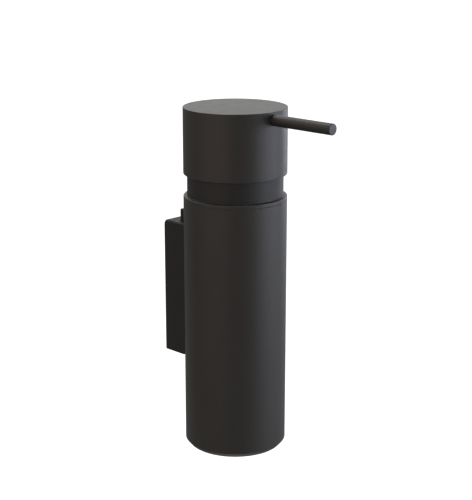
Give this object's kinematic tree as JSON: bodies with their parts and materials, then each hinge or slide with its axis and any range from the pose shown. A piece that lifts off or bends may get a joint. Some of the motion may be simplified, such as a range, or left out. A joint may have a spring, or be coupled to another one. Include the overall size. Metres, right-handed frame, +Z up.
{
  "type": "wall mounted soap dispenser",
  "caption": "Slim cylindrical soap dispenser that hangs on a wall bracket, with a pressed cylindrical pump head, a recessed neck ring and a straight thin spout.",
  "frame": {"origin": "centre of the bracket's wall face, midway between the two wall screw holes", "axes": "+Z is up, +Y points into the wall, and the spout points along -Y, away from the wall"},
  "size_m": [0.05, 0.101, 0.1694],
  "materials": {
    "vessel_coat": "fine matt powder coat",
    "head_coat": "fine matt powder coat",
    "collar_coat": "satin coat",
    "spout_coat": "fine matt powder coat",
    "bracket_coat": "fine matt powder coat",
    "rail_coat": "satin coat",
    "base_coat": "fine matt powder coat",
    "bare_steel": "brushed",
    "screw_steel": "blackened",
    "ball_steel": "polished",
    "pad_rubber": "soft",
    "seal_rubber": "smooth",
    "bottle_plastic": "milky, half gloss",
    "dark_plastic": "moulded",
    "pale_plastic": "moulded"
  },
  "bodies": {
    "bracket": {"wall_plate": "bare_steel", "bracket_block": "bracket_coat", "bracket_grub_screw": "screw_steel"},
    "vessel": {"outer_tube": "vessel_coat", "base_disc": "base_coat", "base_pad": "pad_rubber", "hanger_rail": "rail_coat", "rail_screws": "screw_steel"},
    "refill": {"bottle": "bottle_plastic"},
    "pump": {"neck_collar": "collar_coat", "closure_nut": "dark_plastic", "gasket": "seal_rubber", "pump_chamber": "pale_plastic", "stem_guide": "dark_plastic", "ball_cage": "pale_plastic", "pump_spring": "ball_steel", "dip_tube": "pale_plastic"},
    "inlet_valve": {"inlet_ball": "ball_steel"},
    "stem": {"pump_stem": "pale_plastic", "piston": "pale_plastic"},
    "outlet_valve": {"outlet_ball": "ball_steel"},
    "head": {"head_cap": "head_coat", "head_core": "dark_plastic", "spout": "spout_coat", "spout_seal": "seal_rubber", "spout_grub_screw": "screw_steel"}
  },
  "joints": [
    {"name": "vessel_lift", "type": "slide", "parent": "bracket", "child": "vessel", "axis": [0, 0, 1], "range_m": [0, 0.065]},
    {"name": "refill_lift", "type": "slide", "parent": "vessel", "child": "refill", "axis": [0, 0, 1], "range_m": [0, 0.13]},
    {"name": "pump_lift", "type": "slide", "parent": "refill", "child": "pump", "axis": [0, 0, 1], "range_m": [0, 0.125]},
    {"name": "head_press", "type": "slide", "parent": "pump", "child": "stem", "axis": [0, 0, -1], "range_m": [0, 0.01], "stiffness_N_per_m": 500, "springref_m": -0.012, "deforming": ["pump_spring"]},
    {"name": "head_turn", "type": "hinge", "parent": "stem", "child": "head", "pos_m": [0, -0.0405, 0.08], "axis": [0, 0, 1], "range_deg": [-125, 125]},
    {"name": "inlet_ball_lift", "type": "slide", "parent": "pump", "child": "inlet_valve", "axis": [0, 0, 1], "range_m": [0, 0.0015]},
    {"name": "outlet_ball_lift", "type": "slide", "parent": "stem", "child": "outlet_valve", "axis": [0, 0, 1], "range_m": [0, 0.0018]}
  ]
}
